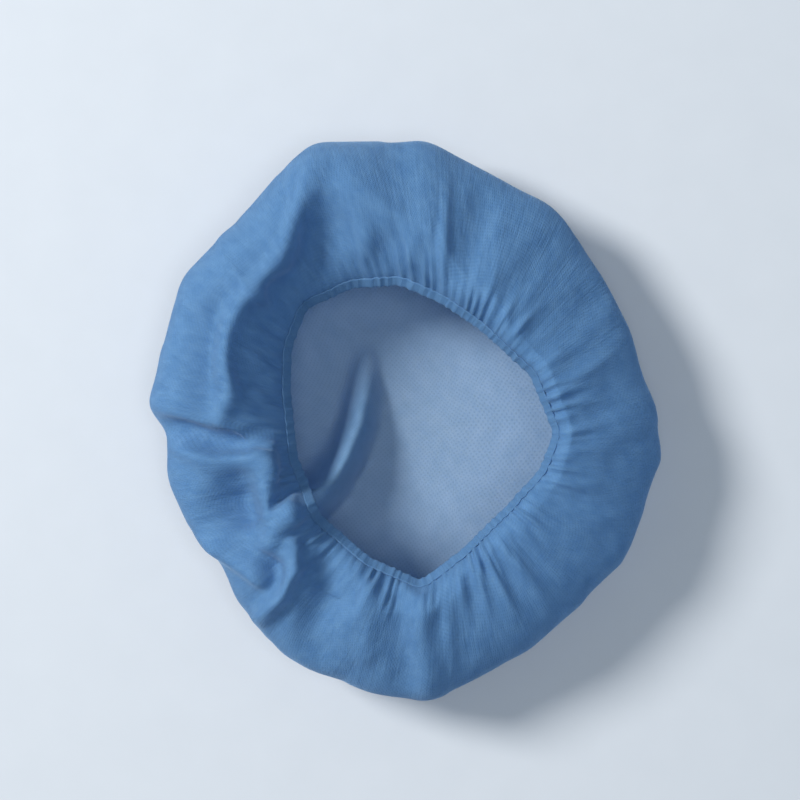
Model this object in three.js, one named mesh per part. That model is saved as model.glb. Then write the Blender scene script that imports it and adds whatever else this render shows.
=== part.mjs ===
// A disposable non-woven bouffant cap, lying crown down with its mouth up.
// Millimetres, +Z up, the supporting surface at z = 0. The origin is the middle of the cap's
// outline on that surface, with +Y towards the rim that is at the top of a view from above.
// The fabric starts as one round blank of about 533 mm. Its edge is folded round an elastic
// ring, which draws it in to the mouth, so the crown is one hollow shell full of gathers.

import * as THREE from "three";

// Overall sizes of the cap as it lies
const WIDTH = 292;
const LENGTH = 319.5;
const HEIGHT = 85;
const EQUATOR_HEIGHT = 45;

// Mouth: the free opening inside the hem, and how far its middle lies from the cap's middle
const MOUTH_WIDTH = 148;
const MOUTH_LENGTH = 166;
const MOUTH_OFFSET_X = 9;
const MOUTH_OFFSET_Y = -7;

// Flattened patch that the cap rests on
const REST_CENTRE_X = 28;
const REST_CENTRE_Y = -4;
const REST_SHARE = 0.44;

// Walls, and the gap between pieces that touch in the real cap
const FABRIC_WALL = 1.3;
const HEM_WALL = 1;
const CLEARANCE = 0.3;

// Elastic ring and the folded hem round it
const ELASTIC_WIDTH = 2.5;
const ELASTIC_THICKNESS = 1.2;
const HEM_OVERLAP = 2.3;
const HEM_NOSE = 1.3;
const HEM_SCALLOP = 0.8;
const HEM_PUFF = 0.5;

// Gathers: one ridge and one furrow each, deepest a little way out from the hem
const GATHERS = 60;
const GATHER_DEPTH = 1.9;
const GATHER_RISE = 11;
const GATHER_END = 0.92;

// Folds: the widest reach to one side of a fold's line, and the greatest height, on the upper side
// and for the long fold inside the crown
const FOLD_REACH = 26;
const FOLD_HEIGHT = 12;
const CROWN_FOLD_REACH = 26;
const CROWN_FOLD_HEIGHT = 32;

// How much of the gathers is left out where a fold is at its full height
const FOLD_CALM = 0.8;

const DEGREE = Math.PI / 180;
const QUARTER_TURN = Math.PI / 2;

// Turns rows of numbers into objects with the named columns
function table(columns, rows) {
  return rows.map((row) => Object.fromEntries(columns.map((column, index) => [column, row[index]])));
}

// Soft corners of the rim: bearing in degrees from +X, reach as a share of half the width and length
const RIM_CORNERS = table(["bearing", "reach"], [
  [4, 0.966], [19, 0.934], [34, 0.922], [51, 0.95], [68, 0.932], [85, 0.993],
  [110, 1.045], [119, 1.0], [129, 0.96], [150, 1.0], [160, 0.973], [170, 0.975],
  [178, 1.002], [182, 0.92], [193, 0.945], [204, 0.92], [210, 0.91], [214, 0.872],
  [226, 0.916], [240, 0.962], [262, 0.98], [275, 1.006], [285, 0.966], [300, 0.95],
  [318, 0.954], [331, 0.99], [352, 1.012],
]);

// Soft corners of the mouth, about its own middle, in the same columns
const MOUTH_CORNERS = table(["bearing", "reach"], [
  [0, 1.0], [25, 0.91], [57, 0.825], [80, 0.885], [99, 1.01], [118, 1.11],
  [136, 1.21], [150, 1.14], [165, 1.03], [190, 0.957], [217, 0.94], [245, 0.93],
  [270, 1.0], [290, 0.855], [307, 0.8], [323, 0.816], [345, 0.935],
]);

// How the upper side runs from the rim to the mouth at each bearing: where its crest lies on the
// way in, how high the crest is and how high the hem's upper edge is, both as shares of the
// height, and how many degrees the hem hangs down from level
const UPPER_SECTIONS = table(["bearing", "crest", "top", "mouth", "lean"], [
  [0, 0.8, 0.98, 0.94, 58], [40, 0.8, 0.98, 0.93, 58], [70, 0.72, 0.98, 0.88, 50], [90, 0.6, 0.97, 0.82, 40],
  [106, 0.42, 0.98, 0.75, 34], [116, 0.42, 1.0, 0.7, 34], [128, 0.7, 0.99, 0.68, 36],
  [139, 0.7, 0.97, 0.66, 38], [150, 0.56, 0.96, 0.66, 38], [166, 0.53, 0.97, 0.66, 38],
  [178, 0.55, 0.95, 0.67, 38], [186, 0.68, 0.88, 0.68, 38], [193, 0.82, 0.91, 0.69, 36],
  [200, 0.73, 0.92, 0.71, 34], [211, 0.63, 0.94, 0.81, 36], [220, 0.59, 0.95, 0.8, 38],
  [229, 0.56, 0.93, 0.77, 40],
  [246, 0.6, 0.95, 0.8, 44], [270, 0.74, 0.95, 0.84, 50], [300, 0.8, 0.96, 0.9, 56],
  [335, 0.8, 0.98, 0.93, 58],
]);

// Folds. Each row is a station on a fold's line: its place in plan as shares of half the width and
// length, the reach to the left and to the right of the line, and the height, up for a ridge. Reach
// and height are shares of the fold sizes.
function foldTable(rows) {
  const stations = table(["fold", "x", "y", "left", "right", "height"], rows);
  const names = [...new Set(stations.map((station) => station.fold))];
  return names.map((name) => stations.filter((station) => station.fold === name));
}

// Folds of the upper side
const UPPER_FOLDS = foldTable([
  ["curved crest", -0.35, 0.86, 0.5, 0.6, 0.1],
  ["curved crest", -0.42, 0.68, 0.55, 0.62, 0.33],
  ["curved crest", -0.46, 0.58, 0.55, 0.6, 0.35],
  ["curved crest", -0.55, 0.5, 0.5, 0.58, 0.38],
  ["curved crest", -0.65, 0.4, 0.5, 0.58, 0.38],
  ["curved crest", -0.715, 0.29, 0.5, 0.58, 0.38],
  ["curved crest", -0.715, 0.2, 0.5, 0.58, 0.38],
  ["curved crest", -0.69, 0.09, 0.5, 0.58, 0.33],
  ["curved crest", -0.725, 0.02, 0.5, 0.5, 0.2],
  ["crest valley", -0.29, 0.8, 0.7, 0.55, -0.2],
  ["crest valley", -0.29, 0.66, 1, 0.72, -0.5],
  ["crest valley", -0.36, 0.48, 0.9, 0.75, -0.5],
  ["crest valley", -0.47, 0.36, 0.6, 0.6, -0.2],
  ["notch crease", -0.97, 0.0, 0.5, 0.5, -0.45],
  ["notch crease", -0.76, -0.055, 0.5, 0.5, -0.6],
  ["notch crease", -0.55, -0.05, 0.5, 0.5, -0.35],
  ["notch ridge", -0.9, -0.06, 0.46, 0.46, 0.3],
  ["notch ridge", -0.73, -0.12, 0.46, 0.46, 0.38],
  ["notch ridge", -0.54, -0.1, 0.46, 0.46, 0.38],
  ["pillow crest", -0.53, -0.08, 0.54, 0.54, 0.3],
  ["pillow crest", -0.53, -0.2, 0.54, 0.54, 0.45],
  ["pillow crest", -0.55, -0.4, 0.54, 0.54, 0.3],
  ["pillow hollow", -0.71, -0.19, 0.5, 0.55, -0.4],
  ["pillow hollow", -0.67, -0.27, 0.52, 0.62, -0.65],
  ["pillow hollow", -0.62, -0.35, 0.5, 0.55, -0.4],
  ["outer low ridge", -0.76, -0.48, 0.4, 0.4, 0.2],
  ["outer low ridge", -0.63, -0.525, 0.46, 0.46, 0.4],
  ["outer low ridge", -0.5, -0.59, 0.46, 0.46, 0.35],
  ["inner low ridge", -0.42, -0.47, 0.46, 0.46, 0.3],
  ["inner low ridge", -0.449, -0.59, 0.46, 0.46, 0.42],
  ["inner low ridge", -0.55, -0.7, 0.4, 0.4, 0.2],
  ["long fold over the hem", -0.36, -0.28, 0.5, 0.54, 0.5],
  ["long fold over the hem", -0.44, -0.34, 0.5, 0.54, 0.6],
  ["long fold over the hem", -0.54, -0.42, 0.5, 0.54, 0.3],
  ["top crease", -0.018, 0.66, 0.54, 0.54, -0.2],
  ["top crease", -0.07, 0.56, 0.54, 0.54, -0.35],
  ["top crease", -0.14, 0.44, 0.54, 0.54, -0.3],
  ["low left crease", -0.37, -0.5, 0.62, 0.62, -0.3],
  ["low left crease", -0.39, -0.64, 0.62, 0.62, -0.45],
  ["low left crease", -0.38, -0.8, 0.62, 0.62, -0.2],
  ["low ridge", -0.135, -0.58, 0.5, 0.5, 0.2],
  ["low ridge", -0.15, -0.82, 0.5, 0.5, 0.2],
  ["low crease", -0.02, -0.6, 0.54, 0.54, -0.3],
  ["low crease", 0.0, -0.9, 0.54, 0.54, -0.3],
  ["low corner ridge", 0.05, -0.6, 0.54, 0.54, 0.25],
  ["low corner ridge", 0.096, -0.97, 0.54, 0.54, 0.33],
  ["top right crease", 0.3, 0.75, 0.58, 0.58, -0.25],
  ["top right crease", 0.22, 0.5, 0.58, 0.58, -0.25],
  ["right crease", 0.72, 0.42, 0.58, 0.58, -0.25],
  ["right crease", 0.5, 0.26, 0.58, 0.58, -0.25],
  ["low right crease", 0.78, -0.42, 0.58, 0.58, -0.25],
  ["low right crease", 0.54, -0.26, 0.58, 0.58, -0.25],
]);

// The fold that stands up inside the crown and climbs its lower left wall
const CROWN_FOLDS = foldTable([
  ["long fold", -0.15, 0.27, 0.4, 0.5, 0.1],
  ["long fold", -0.155, 0.13, 0.75, 0.85, 0.5],
  ["long fold", -0.18, -0.01, 0.8, 0.9, 0.8],
  ["long fold", -0.24, -0.15, 0.85, 0.95, 1],
  ["long fold", -0.33, -0.265, 0.9, 1, 1],
  ["long fold", -0.43, -0.335, 0.92, 1, 1],
  ["long fold", -0.52, -0.4, 0.95, 1, 0.95],
  ["long fold", -0.6, -0.46, 0.95, 1, 0.75],
  ["long fold", -0.68, -0.53, 0.9, 0.9, 0.45],
]);

// Stages of one run from the middle of the rest patch up to the fabric's cut edge in the hem
const FLOOR_END = 1;
const SIDE_END = 2;
const UPPER_END = 3;
const FABRIC_EDGE = 4;
const CREST_STAGE = 0.55;

// Rings of the shell: stage along that run, and how many points of the full ring each one keeps
const SHELL_RINGS = table(["stage", "divider"], [
  [0.3, 4], [0.45, 2], [0.58, 2], [0.7, 2], [0.8, 1], [0.9, 1], [FLOOR_END, 1], [1.15, 1], [1.35, 1],
  [1.65, 1], [SIDE_END, 1], [2.12, 1], [2.25, 1], [2.4, 1],
  [SIDE_END + CREST_STAGE, 1], [2.7, 1], [2.85, 1], [UPPER_END, 1], [FABRIC_EDGE, 1],
]);

const RING_POINTS = 2 * GATHERS;
const NORMAL_STEP = 0.04;

// Sizes across the hem, measured outwards from its closed inner end
const SLOT_START = HEM_NOSE + HEM_SCALLOP / 2;
const ELASTIC_START = SLOT_START + CLEARANCE;
const ELASTIC_END = ELASTIC_START + ELASTIC_WIDTH;
const FABRIC_START = ELASTIC_END + CLEARANCE;
const HEM_WIDTH = FABRIC_START + HEM_OVERLAP;
const COLLAR_START = HEM_WIDTH + 2 * CLEARANCE;
const SLOT_HALF = Math.max(FABRIC_WALL, ELASTIC_THICKNESS) / 2 + CLEARANCE;
const HEM_HALF = SLOT_HALF + HEM_WALL;

function mix(from, to, share) {
  return from + (to - from) * share;
}

function clamp01(value) {
  return Math.min(1, Math.max(0, value));
}

function smooth(value) {
  const share = clamp01(value);
  return share * share * (3 - 2 * share);
}

// The two rows of a table on either side of a bearing, and how far the bearing is between them
function rowsAround(rows, degrees) {
  const bearing = ((degrees % 360) + 360) % 360;
  let after = rows.findIndex((row) => row.bearing > bearing);
  if (after < 0) after = 0;
  const before = (after + rows.length - 1) % rows.length;
  const span = (rows[after].bearing - rows[before].bearing + 360) % 360;
  const gone = (bearing - rows[before].bearing + 360) % 360;
  return { before: rows[before], after: rows[after], share: gone / span };
}

function blendColumn(rows, degrees, column) {
  const { before, after, share } = rowsAround(rows, degrees);
  return mix(before[column], after[column], smooth(share));
}

// Reach along a bearing to the straight edge between two corners
function edgeReach(corners, degrees) {
  const { before, after } = rowsAround(corners, degrees);
  const turnBefore = before.bearing * DEGREE;
  const turnAfter = after.bearing * DEGREE;
  const turn = degrees * DEGREE;
  const area = before.reach * after.reach * Math.sin(turnAfter - turnBefore);
  const nearBefore = before.reach * Math.sin(turn - turnBefore);
  const nearAfter = after.reach * Math.sin(turnAfter - turn);
  return area / (nearBefore + nearAfter);
}

// The same with each corner rounded, by averaging a few bearings on either side
function roundedReach(corners, degrees) {
  const offsets = [-2.4, -1.2, 0, 1.2, 2.4];
  const reaches = offsets.map((offset) => edgeReach(corners, degrees + offset));
  return reaches.reduce((sum, reach) => sum + reach, 0) / offsets.length;
}

function rimPoint(degrees) {
  const reach = roundedReach(RIM_CORNERS, degrees) / 2;
  return new THREE.Vector2(
    WIDTH * reach * Math.cos(degrees * DEGREE),
    LENGTH * reach * Math.sin(degrees * DEGREE),
  );
}

function mouthPoint(degrees) {
  const reach = roundedReach(MOUTH_CORNERS, degrees) / 2;
  return new THREE.Vector2(
    MOUTH_OFFSET_X + MOUTH_WIDTH * reach * Math.cos(degrees * DEGREE),
    MOUTH_OFFSET_Y + MOUTH_LENGTH * reach * Math.sin(degrees * DEGREE),
  );
}

// A point some way out from the mouth's edge, level with it and square to it
function besideMouth(degrees, distance) {
  const ahead = mouthPoint(degrees + 4);
  const behind = mouthPoint(degrees - 4);
  const along = ahead.sub(behind).normalize();
  return mouthPoint(degrees).add(new THREE.Vector2(along.y, -along.x).multiplyScalar(distance));
}

// A point of the hanging hem: its distance up the hem from the closed edge, and its lift off the
// middle of the hem towards the upper side
function hemPoint(degrees, distance, lift) {
  const lean = blendColumn(UPPER_SECTIONS, degrees, "lean") * DEGREE;
  const edge = HEIGHT * blendColumn(UPPER_SECTIONS, degrees, "mouth") - HEM_HALF;
  const out = distance * Math.cos(lean) - lift * Math.sin(lean);
  const up = (distance - COLLAR_START) * Math.sin(lean) + lift * Math.cos(lean);
  const plan = besideMouth(degrees, out);
  return new THREE.Vector3(plan.x, plan.y, edge + up);
}

// Point of the unfolded shell's outer skin at a bearing and a stage
function plainPoint(degrees, stage) {
  const rim = rimPoint(degrees);
  const rest = new THREE.Vector2(REST_CENTRE_X, REST_CENTRE_Y);
  if (stage <= FLOOR_END) {
    const plan = rest.lerp(rim, REST_SHARE * stage);
    return new THREE.Vector3(plan.x, plan.y, 0);
  }
  if (stage <= SIDE_END) {
    const turn = (stage - FLOOR_END) * QUARTER_TURN;
    const plan = rest.lerp(rim, mix(REST_SHARE, 1, Math.sin(turn)));
    return new THREE.Vector3(plan.x, plan.y, EQUATOR_HEIGHT * (1 - Math.cos(turn)));
  }
  return upperPoint(degrees, stage, rim);
}

// The upper side: up from the rim to the crest, down to the collar, then down into the hem
function upperPoint(degrees, stage, rim) {
  const collar = hemPoint(degrees, COLLAR_START, FABRIC_WALL / 2);
  if (stage > UPPER_END) {
    return collar.lerp(hemPoint(degrees, FABRIC_START, FABRIC_WALL / 2), stage - UPPER_END);
  }
  const inner = new THREE.Vector2(collar.x, collar.y);
  const span = rim.distanceTo(inner);
  const crest = blendColumn(UPPER_SECTIONS, degrees, "crest");
  const top = HEIGHT * blendColumn(UPPER_SECTIONS, degrees, "top");
  const gone = stage - SIDE_END;
  if (gone <= CREST_STAGE) {
    const turn = (gone / CREST_STAGE) * QUARTER_TURN;
    const plan = rim.lerp(inner, crest * (1 - Math.cos(turn)));
    return new THREE.Vector3(plan.x, plan.y, mix(EQUATOR_HEIGHT, top, Math.sin(turn)));
  }
  const fall = (gone - CREST_STAGE) / (1 - CREST_STAGE);
  const lean = blendColumn(UPPER_SECTIONS, degrees, "lean") * DEGREE;
  const bulge = Math.tan(lean) * (1 - crest) * span * fall * fall * (1 - fall);
  const plan = rim.lerp(inner, mix(crest, 1, fall));
  return new THREE.Vector3(plan.x, plan.y, mix(top, collar.z, smooth(fall)) + bulge);
}

// Unit normal of a surface given by bearing and stage, pointing out of the fabric's outer skin
function normalOf(surface, degrees, stage) {
  const along = surface(degrees + 1.5, stage).sub(surface(degrees - 1.5, stage));
  const lower = Math.max(NORMAL_STEP, stage - NORMAL_STEP);
  const upper = Math.min(FABRIC_EDGE, stage + NORMAL_STEP);
  const across = surface(degrees, upper).sub(surface(degrees, lower));
  return along.cross(across).normalize();
}

// Where a point in plan lies beside the stretch between two stations of a fold: how far along it,
// and how far away from it, positive on its left
function besideStretch(from, to, point) {
  const start = new THREE.Vector2((from.x * WIDTH) / 2, (from.y * LENGTH) / 2);
  const run = new THREE.Vector2((to.x * WIDTH) / 2, (to.y * LENGTH) / 2).sub(start);
  const offset = point.clone().sub(start);
  const along = clamp01(offset.dot(run) / run.lengthSq());
  const distance = offset.distanceTo(run.clone().multiplyScalar(along));
  return { from, to, along, away: run.cross(offset) >= 0 ? distance : -distance };
}

// How much of a fold is felt at a point in plan, 1 on its line and 0 beyond its reach, and how
// high the fold is there
function foldAt(stations, point, widest) {
  const flat = new THREE.Vector2(point.x, point.y);
  const stretches = stations.slice(1).map((to, index) => besideStretch(stations[index], to, flat));
  const nearest = stretches.reduce((best, next) => (Math.abs(next.away) < Math.abs(best.away) ? next : best));
  const { from, to, along, away } = nearest;
  const side = away >= 0 ? "left" : "right";
  const gone = clamp01(Math.abs(away) / (widest * mix(from[side], to[side], along)));
  const felt = (1 - gone * gone) ** 2;
  return { felt, height: felt * mix(from.height, to.height, along) };
}

// Folds that lie over each other add up only as far as the strongest of them
function foldHeight(folds, point, widest, highest) {
  const heights = folds.map((stations) => foldAt(stations, point, widest).height);
  const ridge = Math.max(0, ...heights);
  const furrow = Math.min(0, ...heights);
  return highest * (ridge + furrow);
}

// The strongest share of any of the folds at a point in plan
function foldPresence(folds, point, widest) {
  return Math.max(...folds.map((stations) => foldAt(stations, point, widest).felt));
}

// The shell with its folds, without the fine gathers
function foldedPoint(degrees, stage) {
  const point = plainPoint(degrees, stage);
  const normal = normalOf(plainPoint, degrees, stage);
  if (stage > UPPER_END) return point;
  if (stage > SIDE_END) {
    const calm = smooth((stage - SIDE_END) / 0.3) * smooth((UPPER_END - stage) / 0.2);
    const height = foldHeight(UPPER_FOLDS, point, FOLD_REACH, FOLD_HEIGHT);
    return point.addScaledVector(normal, calm * height);
  }
  const calm = smooth((SIDE_END - stage) / 0.5);
  const height = foldHeight(CROWN_FOLDS, point, CROWN_FOLD_REACH, CROWN_FOLD_HEIGHT);
  return point.addScaledVector(normal, -calm * height);
}

// Gather ridges and furrows take turns from one point of a ring to the next
function gatherHeight(index, degrees, stage) {
  if (stage <= SIDE_END || stage >= UPPER_END) return 0;
  const point = plainPoint(degrees, stage);
  const edge = hemPoint(degrees, COLLAR_START, 0);
  const collar = new THREE.Vector2(edge.x, edge.y);
  const away = collar.distanceTo(new THREE.Vector2(point.x, point.y));
  const whole = collar.distanceTo(rimPoint(degrees));
  const rise = smooth(away / GATHER_RISE);
  const fade = 1 - smooth(away / (whole * GATHER_END));
  const calm = 1 - FOLD_CALM * foldPresence(UPPER_FOLDS, point, FOLD_REACH);
  const side = index % 2 === 0 ? 1 : -1;
  return side * GATHER_DEPTH * rise * fade * calm;
}

function bearingOf(index, count) {
  return (360 * index) / count;
}

// Outer and inner skin points of one ring of the shell
function shellRing({ stage, divider }) {
  const count = RING_POINTS / divider;
  const outer = [];
  const inner = [];
  for (let index = 0; index < count; index += 1) {
    const degrees = bearingOf(index, count);
    const normal = normalOf(foldedPoint, degrees, stage);
    const point = foldedPoint(degrees, stage);
    point.addScaledVector(normal, gatherHeight(index, degrees, stage));
    outer.push(point);
    inner.push(point.clone().addScaledVector(normal, -FABRIC_WALL));
  }
  return { outer, inner };
}

// Collects the vertices and faces of one closed solid
class SolidBuilder {
  constructor() {
    this.positions = [];
    this.faces = [];
  }

  addPoint(point) {
    this.positions.push(point.x, point.y, point.z);
    return this.positions.length / 3 - 1;
  }

  addRing(points) {
    return points.map((point) => this.addPoint(point));
  }

  addFace(a, b, c, flipped) {
    this.faces.push(...(flipped ? [a, c, b] : [a, b, c]));
  }

  // A fan from one middle point to a ring round it
  fan(middle, ring, flipped) {
    ring.forEach((corner, index) => {
      this.addFace(middle, ring[(index + 1) % ring.length], corner, flipped);
    });
  }

  // A strip between two rings with as many points, or with twice as many in the second
  strip(first, second, flipped) {
    const doubled = second.length > first.length;
    first.forEach((corner, index) => {
      const next = first[(index + 1) % first.length];
      const step = doubled ? 2 : 1;
      const near = second[index * step];
      const far = second[(index * step + step) % second.length];
      if (doubled) {
        const between = second[index * step + 1];
        this.addFace(corner, between, near, flipped);
        this.addFace(corner, next, between, flipped);
        this.addFace(next, far, between, flipped);
      } else {
        this.addFace(corner, next, far, flipped);
        this.addFace(corner, far, near, flipped);
      }
    });
  }

  mesh(name, material) {
    const geometry = new THREE.BufferGeometry();
    geometry.setAttribute("position", new THREE.Float32BufferAttribute(this.positions, 3));
    geometry.setIndex(this.faces);
    geometry.computeVertexNormals();
    const mesh = new THREE.Mesh(geometry, material);
    mesh.name = name;
    return mesh;
  }
}

// The one-piece fabric shell, open at the mouth
function makeCrown() {
  const solid = new SolidBuilder();
  const rings = SHELL_RINGS.map(shellRing);
  const skins = [
    { rings: rings.map((ring) => solid.addRing(ring.outer)), middleHeight: 0, flipped: false },
    { rings: rings.map((ring) => solid.addRing(ring.inner)), middleHeight: FABRIC_WALL, flipped: true },
  ];
  skins.forEach((skin) => {
    const middle = new THREE.Vector3(REST_CENTRE_X, REST_CENTRE_Y, skin.middleHeight);
    solid.fan(solid.addPoint(middle), skin.rings[0], skin.flipped);
    skin.rings.slice(1).forEach((ring, index) => {
      solid.strip(skin.rings[index], ring, skin.flipped);
    });
  });
  solid.strip(skins[0].rings.at(-1), skins[1].rings.at(-1), false);
  return solid.mesh("crown", fabricMaterial(0x6791c2));
}

// A closed ring swept round the mouth; its section is in distance up the hem and lift off it
function sweptRing(name, section, material) {
  const solid = new SolidBuilder();
  const loops = section(0).map(() => []);
  for (let index = 0; index < RING_POINTS; index += 1) {
    const degrees = bearingOf(index, RING_POINTS);
    section(index).forEach(([distance, lift], corner) => {
      loops[corner].push(solid.addPoint(hemPoint(degrees, distance, lift)));
    });
  }
  loops.forEach((loop, corner) => {
    solid.strip(loop, loops[(corner + 1) % loops.length], false);
  });
  return solid.mesh(name, material);
}

// The hem: the blank's edge folded over the elastic, puffed out at each gather
function makeHem() {
  const section = (index) => {
    const gathered = index % 2 === 0;
    const puff = gathered ? HEM_PUFF : 0;
    const nose = gathered ? -HEM_SCALLOP / 2 : HEM_SCALLOP / 2;
    const shoulder = nose + HEM_NOSE;
    const half = HEM_HALF + puff;
    return [
      [HEM_WIDTH, HEM_HALF],
      [shoulder, half],
      [nose, SLOT_HALF / 2],
      [nose, -SLOT_HALF / 2],
      [shoulder, -half],
      [HEM_WIDTH, -HEM_HALF],
      [HEM_WIDTH, -SLOT_HALF],
      [SLOT_START, -SLOT_HALF],
      [SLOT_START, SLOT_HALF],
      [HEM_WIDTH, SLOT_HALF],
    ];
  };
  return sweptRing("hem", section, fabricMaterial(0x74a0cf));
}

// The flat elastic ring, loose in the hem
function makeElastic() {
  const half = ELASTIC_THICKNESS / 2;
  const section = () => [
    [ELASTIC_END, half],
    [ELASTIC_START, half],
    [ELASTIC_START, -half],
    [ELASTIC_END, -half],
  ];
  const material = new THREE.MeshStandardMaterial({ color: 0xe8ebee, roughness: 0.75, metalness: 0 });
  return sweptRing("elastic", section, material);
}

function fabricMaterial(color) {
  return new THREE.MeshStandardMaterial({ color, roughness: 0.9, metalness: 0 });
}

const cap = new THREE.Group();
cap.add(makeCrown(), makeHem(), makeElastic());

export default cap;
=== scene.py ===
import math

import bpy
import numpy as np
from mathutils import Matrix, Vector


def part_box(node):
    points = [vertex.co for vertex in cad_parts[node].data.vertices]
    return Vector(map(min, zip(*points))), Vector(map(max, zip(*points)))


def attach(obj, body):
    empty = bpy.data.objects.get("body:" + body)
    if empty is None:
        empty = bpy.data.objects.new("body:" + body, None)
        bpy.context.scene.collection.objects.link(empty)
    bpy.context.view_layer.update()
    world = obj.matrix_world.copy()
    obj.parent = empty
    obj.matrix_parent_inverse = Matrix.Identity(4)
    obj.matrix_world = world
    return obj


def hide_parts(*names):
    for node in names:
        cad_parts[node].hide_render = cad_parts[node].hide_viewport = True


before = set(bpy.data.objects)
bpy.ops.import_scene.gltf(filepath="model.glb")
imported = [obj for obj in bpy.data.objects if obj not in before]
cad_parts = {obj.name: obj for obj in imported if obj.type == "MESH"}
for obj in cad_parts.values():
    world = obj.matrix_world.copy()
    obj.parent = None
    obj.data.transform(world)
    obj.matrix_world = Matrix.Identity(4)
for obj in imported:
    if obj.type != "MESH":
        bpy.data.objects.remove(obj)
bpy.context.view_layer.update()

# All lengths are in metres, and this is one millimetre
MM = 0.001

# Driving sizes of the shell, from the box of the crown's solid, which the soft corners and the folds
# make a little narrower, shorter and higher than these are
CROWN_LOW, CROWN_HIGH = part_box("crown")
WIDTH = 1.0085 * (CROWN_HIGH[0] - CROWN_LOW[0])
LENGTH = 1.0074 * (CROWN_HIGH[1] - CROWN_LOW[1])
HEIGHT = 0.981 * CROWN_HIGH[2]
EQUATOR_HEIGHT = 0.53 * HEIGHT

# Round blank that the cap is cut from
BLANK_DIAMETER = 533 * MM

# Mouth and rest patch, as in the solids; the rest patch is a share of the rim's size
MOUTH_WIDTH = 148 * MM
MOUTH_LENGTH = 166 * MM
MOUTH_MIDDLE = np.array([9, -7]) * MM
REST_MIDDLE = np.array([28, -4]) * MM
REST_SHARE = 0.44

# Cloth, hem and elastic. The starts and ends are distances out from the mouth's edge
CLOTH_THICKNESS = 0.3 * MM
HEM_WIDTH = 7.1 * MM
HEM_HALF = 1 * MM
COLLAR_START = 7.7 * MM
FABRIC_START = 4.8 * MM
HEM_LEVEL_DROP = 1.95 * MM
HEM_PUFF = 0.5 * MM
ELASTIC_START = 2.1 * MM
ELASTIC_END = 4.4 * MM
ELASTIC_THICKNESS = 1.0 * MM

# Folds: the widest reach to one side of a fold's line and the greatest height, on the upper side
# and for the long fold inside the crown, and how much of the gathers a full fold leaves out
FOLD_REACH = 26 * MM
FOLD_HEIGHT = 12 * MM
CROWN_FOLD_REACH = 26 * MM
CROWN_FOLD_HEIGHT = 46 * MM
FOLD_CALM = 0.6

# Stages of one run from the middle of the rest patch to the cloth's edge inside the hem. The crest's
# own stage is a share of the upper side
FLOOR_END = 1.0
SIDE_END = 2.0
UPPER_END = 3.0
FABRIC_EDGE = 4.0
CREST_STAGE = 0.55

# How many stages the folds take to set in on the upper side and to die away at the hem, the fold
# inside the crown to die away up the side, and the gathers to set in off the floor
FOLD_ONSET = 0.3
FOLD_END = 0.2
CROWN_FOLD_END = 0.5
GATHER_ONSET = 0.6

# How often the folded grid is eased, and the degrees to each side that soften an outline's corner
EASING_PASSES = 2
CORNER_SOFTNESS = 2.4

# Points round the crown and the elastic, points round the hem, and the finest gathers
COLUMNS = 480
HEM_COLUMNS = 960
HEM_GATHERS = 84


def table(columns, rows):
    """Rows of numbers as dictionaries with the named columns."""
    return [dict(zip(columns, row)) for row in rows]


# Soft corners of the rim: bearing in degrees from +X, reach as a share of half the width and length
RIM_CORNERS = table(("bearing", "reach"), [
    (4, 0.966), (19, 0.934), (34, 0.922), (51, 0.95), (68, 0.932), (85, 0.993),
    (110, 1.045), (119, 1.0), (129, 0.96), (150, 1.0), (160, 0.973), (170, 0.975),
    (178, 1.002), (182, 0.92), (193, 0.945), (204, 0.92), (210, 0.91), (214, 0.872),
    (226, 0.916), (240, 0.962), (262, 0.98), (275, 1.006), (285, 0.966), (300, 0.95),
    (318, 0.954), (331, 0.99), (352, 1.012),
])

# Soft corners of the mouth, about its own middle
MOUTH_CORNERS = table(("bearing", "reach"), [
    (0, 1.0), (25, 0.91), (57, 0.825), (80, 0.885), (99, 1.01), (118, 1.11),
    (136, 1.21), (150, 1.14), (165, 1.03), (190, 0.957), (217, 0.94), (245, 0.93),
    (270, 1.0), (290, 0.855), (307, 0.8), (323, 0.816), (345, 0.935),
])

# Where the upper side's crest lies on the way in from the rim, the heights of the crest and of the
# hem's upper edge as shares of the height, the degrees that the hem hangs down from level, and how
# straight the way up to the crest is, from 0 for a round one to 1 for a straight one
UPPER_SECTIONS = table(("bearing", "crest", "top", "mouth", "lean", "straight"), [
    (0, 0.88, 0.98, 0.94, 58, 0.6),
    (40, 0.87, 0.98, 0.93, 58, 0.6),
    (70, 0.78, 0.98, 0.88, 50, 0.5),
    (90, 0.6, 0.97, 0.82, 46, 0.4),
    (106, 0.38, 0.98, 0.75, 44, 0.2),
    (116, 0.34, 1.0, 0.71, 46, 0.1),
    (128, 0.45, 0.99, 0.69, 48, 0),
    (139, 0.47, 0.97, 0.68, 48, 0),
    (150, 0.44, 0.96, 0.68, 48, 0),
    (166, 0.46, 0.97, 0.68, 48, 0),
    (178, 0.5, 0.95, 0.69, 48, 0),
    (186, 0.68, 0.88, 0.7, 48, 0),
    (193, 0.82, 0.91, 0.71, 46, 0),
    (200, 0.73, 0.92, 0.73, 44, 0),
    (211, 0.63, 0.94, 0.82, 44, 0),
    (220, 0.59, 0.95, 0.81, 44, 0.1),
    (229, 0.56, 0.93, 0.78, 46, 0.2),
    (246, 0.64, 0.95, 0.82, 48, 0.4),
    (270, 0.76, 0.95, 0.86, 52, 0.5),
    (300, 0.8, 0.96, 0.91, 56, 0.2),
    (335, 0.85, 0.98, 0.93, 58, 0.35),
])

# Where the long fold lifts the hem: its bearing, and how many degrees and how high it lifts
HEM_LIFT_BEARING = 211
HEM_LIFT_REACH = 9
HEM_LIFT = 7 * MM

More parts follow.
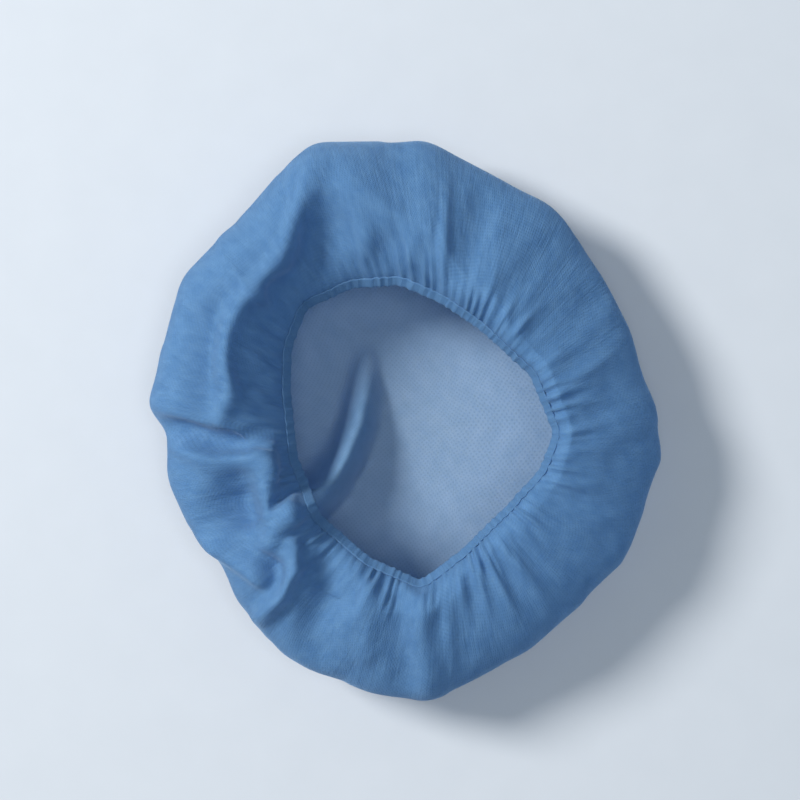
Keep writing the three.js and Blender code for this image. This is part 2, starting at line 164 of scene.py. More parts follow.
# Folds, one row for each station of a fold's line: its place in plan as shares of half the width
# and length, then the reach to the left and to the right of the line and the height, up for a
# ridge, as shares of the fold sizes
FOLD_COLUMNS = ("fold", "x", "y", "left", "right", "height")
UPPER_FOLDS = table(FOLD_COLUMNS, [
    ("curved crest", -0.35, 0.88, 0.44, 0.28, 0.05),
    ("curved crest", -0.42, 0.68, 0.5, 0.3, 0.33),
    ("curved crest", -0.455, 0.59, 0.48, 0.26, 0.42),
    ("curved crest", -0.548, 0.495, 0.44, 0.22, 0.48),
    ("curved crest", -0.635, 0.4, 0.42, 0.2, 0.54),
    ("curved crest", -0.685, 0.307, 0.42, 0.2, 0.58),
    ("curved crest", -0.695, 0.211, 0.42, 0.2, 0.58),
    ("curved crest", -0.675, 0.087, 0.42, 0.2, 0.5),
    ("curved crest", -0.705, 0.0, 0.4, 0.24, 0.2),
    ("facet hollow", -0.68, 0.43, 0.26, 0.5, -0.2),
    ("facet hollow", -0.73, 0.33, 0.28, 0.85, -0.65),
    ("facet hollow", -0.745, 0.22, 0.28, 0.95, -0.8),
    ("facet hollow", -0.735, 0.12, 0.28, 0.9, -0.75),
    ("facet hollow", -0.75, 0.03, 0.26, 0.6, -0.35),
    ("crest valley", -0.29, 0.84, 0.7, 0.5, -0.2),
    ("crest valley", -0.29, 0.68, 1, 0.74, -0.75),
    ("crest valley", -0.35, 0.5, 1, 0.8, -0.75),
    ("crest valley", -0.46, 0.36, 0.6, 0.7, -0.3),
    ("notch crease", -0.99, -0.01, 0.3, 0.3, -0.4),
    ("notch crease", -0.86, -0.045, 0.32, 0.3, -0.7),
    ("notch crease", -0.74, -0.085, 0.34, 0.3, -0.8),
    ("notch crease", -0.62, -0.095, 0.38, 0.3, -0.8),
    ("notch crease", -0.54, -0.06, 0.36, 0.3, -0.4),
    ("notch ridge", -0.93, -0.06, 0.25, 0.35, 0.3),
    ("notch ridge", -0.82, -0.105, 0.25, 0.38, 0.5),
    ("notch ridge", -0.7, -0.15, 0.27, 0.38, 0.5),
    ("notch ridge", -0.55, -0.12, 0.3, 0.38, 0.5),
    ("pillow crest", -0.53, -0.08, 0.38, 0.42, 0.4),
    ("pillow crest", -0.53, -0.2, 0.38, 0.46, 0.6),
    ("pillow crest", -0.545, -0.33, 0.38, 0.46, 0.5),
    ("pillow crest", -0.57, -0.42, 0.38, 0.46, 0.3),
    ("pillow hollow", -0.65, -0.17, 0.42, 0.8, -0.5),
    ("pillow hollow", -0.62, -0.25, 0.46, 1.2, -1.6),
    ("pillow hollow", -0.595, -0.34, 0.5, 1.3, -1.8),
    ("pillow hollow", -0.585, -0.42, 0.45, 1.0, -0.7),
    ("outer low ridge", -0.82, -0.42, 0.27, 0.3, 0.2),
    ("outer low ridge", -0.72, -0.45, 0.3, 0.33, 0.65),
    ("outer low ridge", -0.62, -0.495, 0.3, 0.35, 0.8),
    ("outer low ridge", -0.52, -0.55, 0.28, 0.33, 0.6),
    ("inner low ridge", -0.42, -0.44, 0.28, 0.36, 0.5),
    ("inner low ridge", -0.42, -0.53, 0.28, 0.38, 0.8),
    ("inner low ridge", -0.46, -0.61, 0.28, 0.38, 0.8),
    ("inner low ridge", -0.57, -0.71, 0.31, 0.38, 0.4),
    ("pocket", -0.56, -0.47, 0.32, 0.32, -0.5),
    ("pocket", -0.5, -0.525, 0.35, 0.28, -1.1),
    ("pocket", -0.487, -0.565, 0.3, 0.26, -0.7),
    ("long fold over the hem", -0.36, -0.275, 0.34, 0.44, 0.75),
    ("long fold over the hem", -0.43, -0.33, 0.36, 0.46, 0.75),
    ("long fold over the hem", -0.5, -0.385, 0.36, 0.46, 0.55),
    ("long fold over the hem", -0.57, -0.43, 0.34, 0.4, 0.2),
    ("top crease", 0.0, 0.72, 0.4, 0.4, -0.1),
    ("top crease", -0.07, 0.56, 0.46, 0.46, -0.33),
    ("top crease", -0.14, 0.44, 0.46, 0.46, -0.33),
    ("low left crease", -0.29, -0.5, 0.8, 0.5, -0.6),
    ("low left crease", -0.31, -0.62, 0.9, 0.62, -1),
    ("low left crease", -0.34, -0.78, 0.8, 0.6, -0.4),
    ("low ridge", -0.135, -0.58, 0.38, 0.38, 0.25),
    ("low ridge", -0.15, -0.82, 0.38, 0.38, 0.2),
    ("low crease", -0.02, -0.6, 0.42, 0.42, -0.33),
    ("low crease", 0.0, -0.9, 0.42, 0.42, -0.25),
    ("low corner ridge", 0.05, -0.6, 0.42, 0.42, 0.3),
    ("low corner ridge", 0.096, -0.97, 0.42, 0.42, 0.33),
    ("top right crease", 0.3, 0.75, 0.5, 0.5, -0.25),
    ("top right crease", 0.22, 0.5, 0.5, 0.5, -0.25),
    ("right crease", 0.72, 0.42, 0.58, 0.58, -0.25),
    ("right crease", 0.5, 0.26, 0.58, 0.58, -0.25),
    ("low right crease", 0.78, -0.42, 0.58, 0.58, -0.25),
    ("low right crease", 0.54, -0.26, 0.58, 0.58, -0.25),
])

# The fold that stands up inside the crown and climbs its lower left wall
CROWN_FOLDS = table(FOLD_COLUMNS, [
    ("long fold", -0.15, 0.27, 0.2, 0.3, 0.03),
    ("long fold", -0.148, 0.2, 0.34, 0.46, 0.16),
    ("long fold", -0.155, 0.1, 0.42, 0.54, 0.36),
    ("long fold", -0.178, -0.02, 0.46, 0.56, 0.58),
    ("long fold", -0.235, -0.15, 0.48, 0.56, 0.8),
    ("long fold", -0.32, -0.26, 0.52, 0.58, 0.95),
    ("long fold", -0.42, -0.335, 0.6, 0.66, 1),
    ("long fold", -0.52, -0.4, 0.7, 0.8, 0.92),
    ("long fold", -0.6, -0.46, 0.8, 1, 0.7),
    ("long fold", -0.68, -0.53, 0.8, 1, 0.35),
])

# Families of gathers, fine at the hem and broader further out: how many go round, height in
# millimetres, and the distances from the hem where they begin, stand full and die away
GATHER_FAMILIES = table(("count", "height", "begin", "full", "fade", "end"), [
    (HEM_GATHERS, 0.95, -6, 3, 10, 25),
    (43, 1.0, 5, 15, 22, 42),
    (23, 1.1, 16, 28, 40, 66),
    (13, 0.9, 28, 42, 70, 100),
])


def smooth(value):
    """A share eased at both ends, for a value from 0 to 1."""
    share = np.clip(value, 0, 1)
    return share * share * (3 - 2 * share)


def rows_around(rows, degrees):
    """Indices of the rows on either side of each bearing, and the share of the way between."""
    bearings = np.array([row["bearing"] for row in rows], float)
    turned = np.asarray(degrees, float) % 360
    after = np.searchsorted(bearings, turned, side="right") % len(rows)
    before = (after - 1) % len(rows)
    span = (bearings[after] - bearings[before]) % 360
    return before, after, ((turned - bearings[before]) % 360) / span


def blend_column(rows, degrees, column):
    """The value of a column at each bearing, eased from row to row."""
    before, after, share = rows_around(rows, degrees)
    values = np.array([row[column] for row in rows], float)
    return values[before] + (values[after] - values[before]) * smooth(share)


def edge_reach(corners, degrees):
    """Reach along each bearing to the straight edge between two corners."""
    before, after, _ = rows_around(corners, degrees)
    bearings = np.radians([row["bearing"] for row in corners])
    reaches = np.array([row["reach"] for row in corners])
    turn = np.radians(degrees)
    area = reaches[before] * reaches[after] * np.sin(bearings[after] - bearings[before])
    near = reaches[before] * np.sin(turn - bearings[before])
    far = reaches[after] * np.sin(bearings[after] - turn)
    return area / (near + far)


def rounded_reach(corners, degrees):
    """Reach along each bearing, with the corners softened by a mean over nearby bearings."""
    offsets = np.linspace(-CORNER_SOFTNESS, CORNER_SOFTNESS, 7)
    return np.mean([edge_reach(corners, degrees + offset) for offset in offsets], axis=0)


def plan_points(corners, degrees, middle, width, length):
    """Points of a closed outline in plan, one at each bearing about its middle."""
    reach = rounded_reach(corners, degrees) / 2
    turn = np.radians(degrees)
    return middle + np.stack([width * reach * np.cos(turn), length * reach * np.sin(turn)], axis=-1)


def rim_points(degrees):
    return plan_points(RIM_CORNERS, degrees, np.zeros(2), WIDTH, LENGTH)


def mouth_points(degrees):
    return plan_points(MOUTH_CORNERS, degrees, MOUTH_MIDDLE, MOUTH_WIDTH, MOUTH_LENGTH)


def beside_mouth(degrees, distance):
    """Points some way out from the mouth's edge, square to it in plan."""
    along = mouth_points(degrees + 4) - mouth_points(degrees - 4)
    along /= np.linalg.norm(along, axis=-1, keepdims=True)
    outward = np.stack([along[..., 1], -along[..., 0]], axis=-1)
    return mouth_points(degrees) + outward * np.asarray(distance)[..., None]


def hem_points(degrees, distance, lift):
    """Points of the hanging hem: how far up from its closed edge, and how far off its middle."""
    lean = np.radians(blend_column(UPPER_SECTIONS, degrees, "lean"))
    edge = HEIGHT * blend_column(UPPER_SECTIONS, degrees, "mouth") - HEM_LEVEL_DROP
    away = np.clip(np.abs((degrees - HEM_LIFT_BEARING + 180) % 360 - 180) / HEM_LIFT_REACH, 0, 1)
    edge = edge + HEM_LIFT * (1 - away**2) ** 2
    out = distance * np.cos(lean) - lift * np.sin(lean)
    up = (distance - COLLAR_START) * np.sin(lean) + lift * np.cos(lean)
    return with_height(beside_mouth(degrees, out), edge + up)


def mix(start, end, share):
    return start + (end - start) * share


def with_height(plan, height):
    return np.concatenate([plan, np.broadcast_to(height, plan.shape[:-1])[..., None]], axis=-1)


def plain_ring(degrees, stage):
    """One ring of the unfolded shell."""
    rim = rim_points(degrees)
    if stage <= FLOOR_END:
        return with_height(mix(REST_MIDDLE, rim, REST_SHARE * stage), 0.0)
    if stage <= SIDE_END:
        turn = (stage - FLOOR_END) * math.pi / 2
        share = mix(REST_SHARE, 1, math.sin(turn))
        return with_height(mix(REST_MIDDLE, rim, share), EQUATOR_HEIGHT * (1 - math.cos(turn)))
    collar = hem_points(degrees, COLLAR_START, HEM_HALF)
    if stage > UPPER_END:
        return mix(collar, hem_points(degrees, FABRIC_START, 0), stage - UPPER_END)
    inner, level = collar[:, :2], collar[:, 2]
    crest = blend_column(UPPER_SECTIONS, degrees, "crest")
    top = HEIGHT * blend_column(UPPER_SECTIONS, degrees, "top")
    gone = stage - SIDE_END
    if gone <= CREST_STAGE:
        turn = gone / CREST_STAGE * math.pi / 2
        inward = 1 - math.cos(turn)
        rise = mix(math.sin(turn), inward, blend_column(UPPER_SECTIONS, degrees, "straight"))
        plan = mix(rim, inner, crest[:, None] * inward)
        return with_height(plan, mix(EQUATOR_HEIGHT, top, rise))
    fall = (gone - CREST_STAGE) / (1 - CREST_STAGE)
    lean = np.radians(blend_column(UPPER_SECTIONS, degrees, "lean"))
    run = (1 - crest) * np.linalg.norm(rim - inner, axis=-1)
    bulge = np.tan(lean) * run * fall**2 * (1 - fall)
    plan = mix(rim, inner, mix(crest, 1, fall)[:, None])
    return with_height(plan, mix(top, level, smooth(fall)) + bulge)


def grid_normals(points):
    """Unit normals of a grid of rings, pointing out of the cloth's outer side."""
    along = np.roll(points, -1, axis=1) - np.roll(points, 1, axis=1)
    across = np.gradient(points, axis=0)
    normals = np.cross(along, across)
    return normals / np.linalg.norm(normals, axis=-1, keepdims=True)


def beside_stretch(start, end, points):
    """For points in plan, how far along a straight stretch they lie and how far away from it."""
    run = end - start
    offset = points - start
    along = np.clip((offset @ run) / (run @ run), 0, 1)
    distance = np.linalg.norm(offset - along[..., None] * run, axis=-1)
    on_left = run[0] * offset[..., 1] - run[1] * offset[..., 0] >= 0
    return along, distance, on_left


def fold_at(stations, points, widest):
    """How much of a fold is felt at points in plan, and how high the fold is there."""
    half = np.array([WIDTH, LENGTH]) / 2
    nearest = np.full(points.shape[:-1], np.inf)
    felt = np.zeros(points.shape[:-1])
    height = np.zeros(points.shape[:-1])
    for first, second in zip(stations, stations[1:]):
        places = [np.array([station["x"], station["y"]]) * half for station in (first, second)]
        along, distance, on_left = beside_stretch(*places, points)
        left = mix(first["left"], second["left"], along)
        right = mix(first["right"], second["right"], along)
        gone = np.clip(distance / (widest * np.where(on_left, left, right)), 0, 1)
        share = (1 - gone**2) ** 2
        closer = distance < nearest
        nearest = np.where(closer, distance, nearest)
        felt = np.where(closer, share, felt)
        height = np.where(closer, share * mix(first["height"], second["height"], along), height)
    return felt, height


def folds_at(rows, points, widest):
    """The strongest share of any fold at points in plan, and the height of the folds together."""
    names = list(dict.fromkeys(row["fold"] for row in rows))
    folds = [fold_at([row for row in rows if row["fold"] == name], points, widest) for name in names]
    felt = np.max([fold[0] for fold in folds], axis=0)
    heights = np.array([fold[1] for fold in folds])
    return felt, heights.max(axis=0).clip(min=0) + heights.min(axis=0).clip(max=0)


def round_noise(degrees, lowest, highest, seed):
    """Smooth noise of about unit height that closes on itself after a full turn."""
    chance = np.random.default_rng(seed)
    total = np.zeros_like(np.asarray(degrees, float))
    for waves in range(lowest, highest + 1):
        total += chance.normal() * np.cos(np.radians(degrees) * waves + chance.uniform(0, 2 * math.pi))
    return total / math.sqrt((highest - lowest + 1) / 2 + 0.5)


def gather_wave(degrees, count, seed):
    """Gathers of uneven width, from -1 in a furrow to 1 on a ridge."""
    drift = 0.55 * round_noise(degrees, 5, count // 2, seed)
    turn = np.radians(degrees) * count + drift * 1.6
    return np.cos(turn + 0.4 * np.sin(turn))


def gather_height(degrees, distance):
    """Height of all the gathers at each bearing and distance from the hem."""
    total = np.zeros_like(distance)
    for number, family in enumerate(GATHER_FAMILIES):
        stretch = 1 + 0.28 * round_noise(degrees, 3, 30, 40 + number)
        strength = np.clip(0.85 + 0.4 * round_noise(degrees, 2, 17, 60 + number), 0.2, 1.6)
        begin, full, fade, end = (family[name] * MM for name in ("begin", "full", "fade", "end"))
        rise = smooth((distance - begin) / (full - begin))
        fall = 1 - smooth((distance / stretch - fade) / (end - fade))
        wave = gather_wave(degrees, family["count"], 20 + number)
        total += family["height"] * MM * strength * rise * fall * wave
    return total


def relaxed(points, passes):
    """The same grid with its sharpest creases eased; the first and last rings stay."""
    for _ in range(passes):
        around = 0.5 * points + 0.25 * (np.roll(points, 1, axis=1) + np.roll(points, -1, axis=1))
        inner = 0.5 * around[1:-1] + 0.25 * (around[:-2] + around[2:])
        points = np.concatenate([points[:1], inner, points[-1:]])
    return points


def stage_list():
    """Stages of the shell's rings, closest where the gathers are."""
    middle = np.linspace(0.1, 0.55, 7, endpoint=False)
    floor = np.linspace(0.55, FLOOR_END, 16, endpoint=False)
    side = np.linspace(FLOOR_END, SIDE_END, 24, endpoint=False)
    upper = np.linspace(SIDE_END, UPPER_END, 48, endpoint=False)
    collar = np.linspace(UPPER_END, FABRIC_EDGE, 4)
    return np.concatenate([middle, floor, side, upper, collar])


def surface_lengths(points):
    """Length along each column from the middle of the crown to each ring."""
    steps = np.linalg.norm(np.diff(points, axis=0), axis=-1)
    first = np.linalg.norm(points[0, :, :2] - REST_MIDDLE, axis=-1)
    return np.concatenate([first[None], first[None] + np.cumsum(steps, axis=0)])


def crown_grid():
    """The finished cloth shell: rings from the rest patch up to the hem, and its flat coordinates."""
    degrees = np.arange(COLUMNS) * 360 / COLUMNS
    stages = stage_list()
    plain = np.array([plain_ring(degrees, stage) for stage in stages])
    rise = stages[:, None]
    upper = smooth((rise - SIDE_END) / FOLD_ONSET) * smooth((UPPER_END - rise) / FOLD_END)
    lower = smooth((SIDE_END - rise) / CROWN_FOLD_END)
    plan = plain[..., :2]
    felt, upper_folds = folds_at(UPPER_FOLDS, plan, FOLD_REACH)
    crown_folds = folds_at(CROWN_FOLDS, plan, CROWN_FOLD_REACH)[1]
    relief = upper * FOLD_HEIGHT * upper_folds - lower * CROWN_FOLD_HEIGHT * crown_folds
    points = relaxed(plain + grid_normals(plain) * relief[..., None], EASING_PASSES)
    lengths = surface_lengths(points)
    collar_row = int(np.searchsorted(stages, UPPER_END))
    distance = lengths[collar_row] - lengths
    gathers = gather_height(np.broadcast_to(degrees, distance.shape), distance)
    off_floor = smooth((rise - FLOOR_END) / GATHER_ONSET)
    gathers = gathers * off_floor * (1 - FOLD_CALM * felt)
    points = points + grid_normals(points) * gathers[..., None]
    points[..., 2] = np.maximum(points[..., 2], 0.0)
    whole = lengths[-1].mean()
    flat = lengths / whole * (BLANK_DIAMETER / 2 - HEM_WIDTH)
    turn = np.radians(degrees)
    coordinates = np.stack([flat * np.cos(turn), flat * np.sin(turn)], axis=-1)
    return points, coordinates


def mesh_piece(name, vertices, faces, coordinates):
    """A mesh object with flat coordinates of the cloth as its UV map, in metres."""
    mesh = bpy.data.meshes.new(name)
    mesh.from_pydata(vertices.tolist(), [], faces)
    layer = mesh.uv_layers.new(name="cloth")
    corners = np.zeros(len(mesh.loops), dtype=np.int32)
    mesh.loops.foreach_get("vertex_index", corners)
    layer.data.foreach_set("uv", coordinates[corners].ravel())
    mesh.polygons.foreach_set("use_smooth", [True] * len(mesh.polygons))
    mesh.validate()
    piece = bpy.data.objects.new(name, mesh)
    bpy.context.collection.objects.link(piece)
    return piece


def ring_faces(rings, columns, closed_across=False):
    """Quads between rings of vertices that are numbered ring by ring."""
    faces = []
    for ring in range(rings if closed_across else rings - 1):
        near = ring * columns
        far = ((ring + 1) % rings) * columns
        for column in range(columns):
            ahead = (column + 1) % columns
            faces.append((near + column, near + ahead, far + ahead, far + column))
    return faces


def thicken(piece, thickness):
    """Adds the inner skin, which takes the next material of the piece."""
    solidify = piece.modifiers.new("thickness", "SOLIDIFY")
    solidify.thickness = thickness
    solidify.offset = -1
    solidify.use_even_offset = False
    solidify.material_offset = 1


def make_crown():
    """The crown's cloth, closed by a fan of faces in the middle of the rest patch."""
    points, coordinates = crown_grid()
    rings, columns = points.shape[:2]
    vertices = np.concatenate([points.reshape(-1, 3), [[*REST_MIDDLE, 0.0]]])
    flat = np.concatenate([coordinates.reshape(-1, 2), [[0.0, 0.0]]])
    faces = ring_faces(rings, columns)
    middle = rings * columns
    faces += [(middle, (column + 1) % columns, column) for column in range(columns)]
    piece = mesh_piece("crown_cloth", vertices, faces, flat)
    thicken(piece, CLOTH_THICKNESS)
    return piece


def make_hem():
    """The blank's edge folded over the elastic: a hairpin section swept round the mouth."""
    degrees = np.arange(HEM_COLUMNS) * 360 / HEM_COLUMNS
    legs = 7
    bends = 8
    run = np.linspace(HEM_WIDTH, HEM_HALF, legs, endpoint=False)
    turns = np.linspace(math.pi / 2, 3 * math.pi / 2, bends + 1)
    across = np.concatenate([run, HEM_HALF + HEM_HALF * np.cos(turns), run[::-1]])
    up = np.concatenate([np.full(legs, HEM_HALF), HEM_HALF * np.sin(turns), np.full(legs, -HEM_HALF)])
    normal_across = np.concatenate([np.zeros(legs), np.cos(turns), np.zeros(legs)])
    normal_up = np.concatenate([np.ones(legs), np.sin(turns), -np.ones(legs)])
    wave = gather_wave(degrees, HEM_GATHERS, 20)
    strength = np.clip(0.9 + 0.35 * round_noise(degrees, 3, 25, 5), 0.3, 1.5)
    fine = 0.5 + 0.5 * np.clip(round_noise(degrees, 90, 150, 9), -1, 1)
    puff = HEM_PUFF * (strength * (0.5 + 0.5 * wave) + 0.2 * fine)
    rings = []
    for step, height, side, lift in zip(across, up, normal_across, normal_up):
        rings.append(hem_points(degrees, step + side * puff, height + lift * puff))
    points = np.array(rings)
    lengths = np.concatenate([[0], np.cumsum(np.hypot(np.diff(across), np.diff(up)))])
    reach = (BLANK_DIAMETER / 2 - HEM_WIDTH + lengths)[:, None]
    turn = np.radians(degrees)
    flat = np.stack([reach * np.cos(turn), reach * np.sin(turn)], axis=-1)
    faces = ring_faces(len(rings), HEM_COLUMNS)
    piece = mesh_piece("hem_fold", points.reshape(-1, 3), faces, flat.reshape(-1, 2))
    thicken(piece, CLOTH_THICKNESS)
    return piece


def make_elastic():
    """The flat elastic ring inside the hem."""
    degrees = np.arange(COLUMNS) * 360 / COLUMNS
    ribs = 0.05 * MM * np.cos(np.radians(degrees) * COLUMNS / 4)
    middle = (ELASTIC_START + ELASTIC_END) / 2
    half_width = (ELASTIC_END - ELASTIC_START) / 2
    half_thickness = ELASTIC_THICKNESS / 2
    sides = 12
    squareness = 0.4
    rings = []
    for turn in np.radians((np.arange(sides) + 0.5) * 360 / sides):
        across = half_width * math.copysign(abs(math.cos(turn)) ** squareness, math.cos(turn))
        lift = half_thickness * math.copysign(abs(math.sin(turn)) ** squareness, math.sin(turn))
        rings.append(hem_points(degrees, middle + across, lift * (1 + ribs / half_thickness)))
    along = degrees / 360
    around = np.arange(sides) / sides
    flat = np.stack(np.broadcast_arrays(along[None, :], around[:, None]), axis=-1)
    faces = ring_faces(len(rings), COLUMNS, closed_across=True)
    return mesh_piece("elastic_ring", np.array(rings).reshape(-1, 3), faces, flat.reshape(-1, 2))


class Nodes:
    """Short hand for building one material's node tree."""

    def __init__(self, name):
        self.material = bpy.data.materials.new(name)
        self.material.use_nodes = True
        self.tree = self.material.node_tree
        self.tree.nodes.clear()

    def add(self, kind, settings=None, **inputs):
        node = self.tree.nodes.new(kind)
        for key, value in (settings or {}).items():
            setattr(node, key, value)
        for key, value in inputs.items():
            self.feed(node.inputs[key.replace("_", " ")], value)
        return node

    def feed(self, socket, value):
        if isinstance(value, bpy.types.NodeSocket):
            self.tree.links.new(value, socket)
        else:
            socket.default_value = value

    def math(self, operation, first, second=0.0):
        node = self.tree.nodes.new("ShaderNodeMath")
        node.operation = operation
        self.feed(node.inputs[0], first)
        self.feed(node.inputs[1], second)
        return node.outputs[0]

    def vector(self, operation, first, second=None):
        node = self.tree.nodes.new("ShaderNodeVectorMath")
        node.operation = operation
        self.feed(node.inputs[0], first)
        if operation == "SCALE":
            self.feed(node.inputs["Scale"], second)
        elif second is not None:
            self.feed(node.inputs[1], second)
        return node.outputs[0]

    def length(self, source):
        node = self.tree.nodes.new("ShaderNodeVectorMath")
        node.operation = "LENGTH"
        self.feed(node.inputs[0], source)
        return node.outputs["Value"]

    def ramp(self, value, low, high, start=0.0, end=1.0):
        node = self.tree.nodes.new("ShaderNodeMapRange")
        self.feed(node.inputs["Value"], value)
        node.inputs["From Min"].default_value = start
        node.inputs["From Max"].default_value = end
        node.inputs["To Min"].default_value = low
        node.inputs["To Max"].default_value = high
        return node.outputs[0]

    def colour_mix(self, share, first, second):
        node = self.tree.nodes.new("ShaderNodeMix")
        node.data_type = "RGBA"
        self.feed(node.inputs["Factor"], share)
        self.feed(node.inputs[6], first)
        self.feed(node.inputs[7], second)
        return node.outputs[2]

    def shader_mix(self, share, first, second):
        node = self.tree.nodes.new("ShaderNodeMixShader")
        self.feed(node.inputs[0], share)
        self.tree.links.new(first, node.inputs[1])
        self.tree.links.new(second, node.inputs[2])
        return node.outputs[0]


def mapped(nodes, source, scale, turn=0.0):
    """Coordinates that are scaled and turned about Z by some degrees."""
    mapping = nodes.add("ShaderNodeMapping", Vector=source)
    mapping.inputs["Scale"].default_value = scale
    mapping.inputs["Rotation"].default_value = (0, 0, math.radians(turn))
    return mapping.outputs[0]


def fibre_pattern(nodes, source):
    """Fine crossing fibres: stretched noise in two directions, the brighter of them kept."""
    layers = []
    for turn, bend in ((22, 0.4), (118, 0.6)):
        place = mapped(nodes, source, (240, 2400, 1), turn)
        noise = nodes.add("ShaderNodeTexNoise", Vector=place, Scale=1.0, Detail=1.0, Roughness=0.6)
        noise.inputs["Distortion"].default_value = bend
        layers.append(noise.outputs[0])
    return nodes.math("MAXIMUM", *layers)


def crinkle_pattern(nodes, source):
    """Soft creases that run out from the middle of the blank, closed all the way round it."""
    outward = nodes.vector("SCALE", nodes.vector("NORMALIZE", source), 75)
    reach = nodes.math("MULTIPLY", nodes.length(source), 45.0)
    height = nodes.add("ShaderNodeCombineXYZ", Z=reach).outputs[0]
    place = nodes.vector("ADD", outward, height)
    return nodes.add("ShaderNodeTexNoise", Vector=place, Scale=1.0, Detail=2.0, Roughness=0.55).outputs[0]


def nonwoven_material(name, dark, light, relief, painted_floor_shine_dark=None, painted_floor_shine_light=None):
    """Thin spunbond cloth: fibres, cloudy density, small bond points and light coming through.

    Where it lies on the pale floor, the cloth may take paler tones than where it stands clear of it: painted
    light, standing in for the floor's light coming through the thin cloth.
    """
    nodes = Nodes(name)
    source = nodes.add("ShaderNodeUVMap", {"uv_map": "cloth"}).outputs[0]
    fibres = fibre_pattern(nodes, source)
    crinkles = crinkle_pattern(nodes, source)
    cloud = nodes.add("ShaderNodeTexNoise", Vector=source, Scale=95.0, Detail=3.0, Roughness=0.6)
    bonds = nodes.add("ShaderNodeTexVoronoi", Vector=mapped(nodes, source, (520, 520, 1), 45), Scale=1.0)
    bonds.inputs["Randomness"].default_value = 0.12
    bond = nodes.ramp(bonds.outputs["Distance"], 1.0, 0.0, 0.2, 0.34)
    density = nodes.ramp(cloud.outputs[0], 0.0, 1.0, 0.3, 0.7)
    weight = nodes.math("ADD", nodes.math("MULTIPLY", density, 0.6), nodes.ramp(fibres, 0.0, 0.4, 0.45, 0.75))
    colour = nodes.colour_mix(weight, (*dark, 1), (*light, 1))
    # painted light: close to the floor the colour fades to paler blues that stand in for floor light coming
    # through the cloth
    if painted_floor_shine_dark:
        place = nodes.add("ShaderNodeTexCoord").outputs["Object"]
        height = nodes.add("ShaderNodeSeparateXYZ", Vector=place).outputs["Z"]
        pale = nodes.colour_mix(weight, (*painted_floor_shine_dark, 1), (*painted_floor_shine_light, 1))
        colour = nodes.colour_mix(nodes.ramp(height, 0.0, 1.0, 1 * MM, 20 * MM), pale, colour)
    colour = nodes.colour_mix(nodes.math("MULTIPLY", bond, 0.3), colour, (*[0.75 * part for part in dark], 1))
    fine = nodes.math("SUBTRACT", nodes.math("MULTIPLY", fibres, 0.5), nodes.math("MULTIPLY", bond, 0.7))
    height = nodes.math("ADD", fine, nodes.math("MULTIPLY", crinkles, 3.0))
    bump = nodes.add("ShaderNodeBump", Height=height, Strength=relief, Distance=0.3 * MM)
    cloth = nodes.add("ShaderNodeBsdfPrincipled", Roughness=0.85, Normal=bump.outputs[0])
    nodes.feed(cloth.inputs["Base Color"], colour)
    cloth.inputs["Specular IOR Level"].default_value = 0.2
    cloth.inputs["Sheen Weight"].default_value = 0.55
    cloth.inputs["Sheen Roughness"].default_value = 0.4
    cloth.inputs["Sheen Tint"].default_value = (0.55, 0.78, 1, 1)
    glow = nodes.add("ShaderNodeBsdfTranslucent", Normal=bump.outputs[0])
    glow.inputs["Color"].default_value = (0.5, 0.7, 0.92, 1)
    lit = nodes.shader_mix(0.42, cloth.outputs[0], glow.outputs[0])
    output = nodes.add("ShaderNodeOutputMaterial")
    nodes.tree.links.new(lit, output.inputs["Surface"])
    return nodes.material


def elastic_material():
    """Covered elastic: fine ribs round the ring, off-white and matte."""
    nodes = Nodes("elastic_knit")
    place = nodes.add("ShaderNodeTexCoord").outputs["Object"]
    place = mapped(nodes, place, (2600, 2600, 400))
    ribs = nodes.add("ShaderNodeTexNoise", Vector=place, Scale=1.0, Detail=3.0)
    colour = nodes.colour_mix(ribs.outputs[0], (0.62, 0.66, 0.7, 1), (0.86, 0.88, 0.9, 1))
    bump = nodes.add("ShaderNodeBump", Height=ribs.outputs[0], Strength=0.4, Distance=0.2 * MM)
    cover = nodes.add("ShaderNodeBsdfPrincipled", Roughness=0.75, Normal=bump.outputs[0])
    nodes.feed(cover.inputs["Base Color"], colour)
    output = nodes.add("ShaderNodeOutputMaterial")
    nodes.tree.links.new(cover.outputs[0], output.inputs["Surface"])
    return nodes.material


def floor_material():
    """Plain pale matte floor with a faint grain."""
    nodes = Nodes("floor_matte")
    place = nodes.add("ShaderNodeTexCoord").outputs["Object"]
    grain = nodes.add("ShaderNodeTexNoise", Vector=place, Scale=40.0, Detail=3.0)
    colour = nodes.colour_mix(grain.outputs[0], (0.6, 0.64, 0.69, 1), (0.63, 0.67, 0.72, 1))
    matte = nodes.add("ShaderNodeBsdfPrincipled", Roughness=0.9)
    nodes.feed(matte.inputs["Base Color"], colour)
    output = nodes.add("ShaderNodeOutputMaterial")
    nodes.tree.links.new(matte.outputs[0], output.inputs["Surface"])
    return nodes.material


def make_floor():
    """A wide plane just below the cloth."""
    half = 3.0
    below = -0.3 * MM
    corners = [(-half, -half, below), (half, -half, below), (half, half, below), (-half, half, below)]
    mesh = bpy.data.meshes.new("floor")
    mesh.from_pydata(corners, [], [(0, 1, 2, 3)])
    floor = bpy.data.objects.new("floor", mesh)
    bpy.context.collection.objects.link(floor)
    floor.data.materials.append(floor_material())


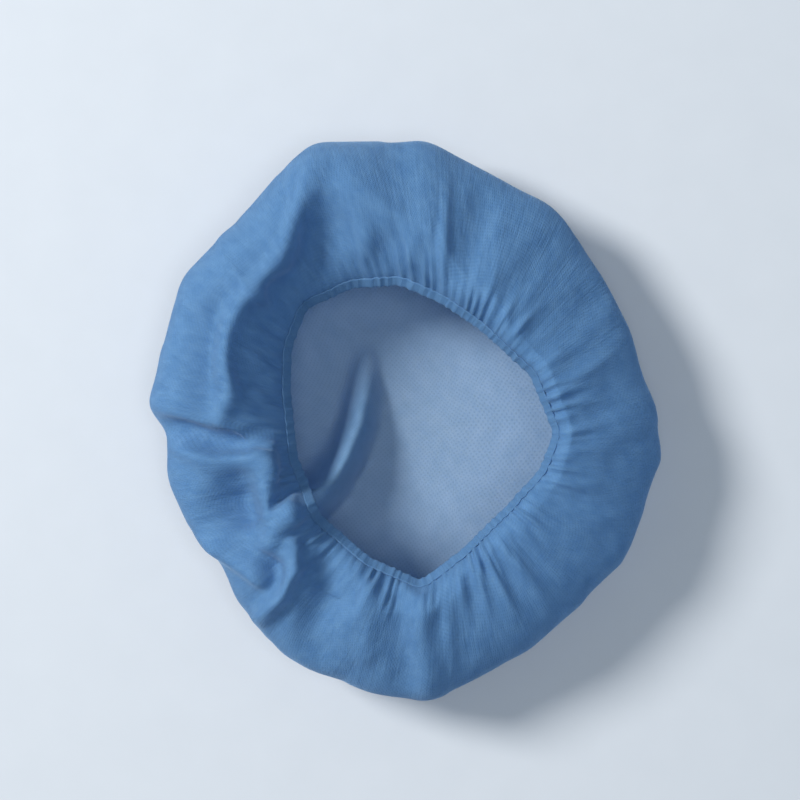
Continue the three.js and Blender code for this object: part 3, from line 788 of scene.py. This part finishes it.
def make_light(name, place, aim, power, size, colour):
    """A soft round lamp that looks at the aim; power in watts, size across in metres."""
    lamp = bpy.data.lights.new(name, "AREA")
    lamp.energy = power
    lamp.shape = "DISK"
    lamp.size = size
    lamp.color = colour
    light = bpy.data.objects.new(name, lamp)
    bpy.context.collection.objects.link(light)
    light.location = place
    light.rotation_euler = (Vector(aim) - Vector(place)).to_track_quat("-Z", "Y").to_euler()


def make_studio():
    """A key lamp from the upper left, a weaker one overhead and a pale blue surround."""
    aim = (0, 0, 0.04)
    make_light("key", (-2.17, 1.0, 2.15), aim, 108, 1.0, (1.0, 0.98, 0.95))
    make_light("overhead", (0.25, -0.15, 3.0), aim, 24, 1.4, (0.94, 0.97, 1.0))
    world = bpy.data.worlds.new("studio")
    world.use_nodes = True
    background = world.node_tree.nodes["Background"]
    background.inputs["Color"].default_value = (0.68, 0.84, 1.0, 1)
    background.inputs["Strength"].default_value = 0.26
    bpy.context.scene.world = world


def make_camera():
    """Straight down, with the cap's middle where it lies in the photograph's 800 by 800 frame."""
    frame_pixels = 800
    middle_x, middle_y = 404.5, 419.5
    outline_pixels = 564
    pixel = LENGTH / outline_pixels
    lens, sensor = 100.0, 36.0
    data = bpy.data.cameras.new("camera")
    data.lens = lens
    data.sensor_width = sensor
    data.clip_end = 20
    camera = bpy.data.objects.new("camera", data)
    bpy.context.collection.objects.link(camera)
    distance = frame_pixels * pixel * lens / sensor
    across = (frame_pixels / 2 - middle_x) * pixel
    up = (middle_y - frame_pixels / 2) * pixel
    camera.location = (across, up, EQUATOR_HEIGHT + distance)
    bpy.context.scene.camera = camera


make_camera()
make_studio()
make_floor()

outer_cloth = nonwoven_material("nonwoven_outer", (0.1, 0.235, 0.44), (0.19, 0.375, 0.6), 0.5)
# The inner skin's blues are paler than the outer's: painted light, standing in for light from the pale floor
# coming through the cloth, and paler still near the floor
inner_cloth_painted_light = nonwoven_material(
    "nonwoven_inner_painted_light", (0.19, 0.36, 0.56), (0.3, 0.5, 0.72), 0.2, (0.35, 0.52, 0.7), (0.47, 0.63, 0.8)
)

crown = make_crown()
crown.data.materials.append(outer_cloth)
crown.data.materials.append(inner_cloth_painted_light)
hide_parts("crown")
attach(crown, "root")

hem = make_hem()
hem.data.materials.append(outer_cloth)
hem.data.materials.append(inner_cloth_painted_light)
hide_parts("hem")
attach(hem, "root")

elastic = make_elastic()
elastic.data.materials.append(elastic_material())
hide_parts("elastic")
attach(elastic, "root")

bpy.context.scene.view_settings.view_transform = "Standard"
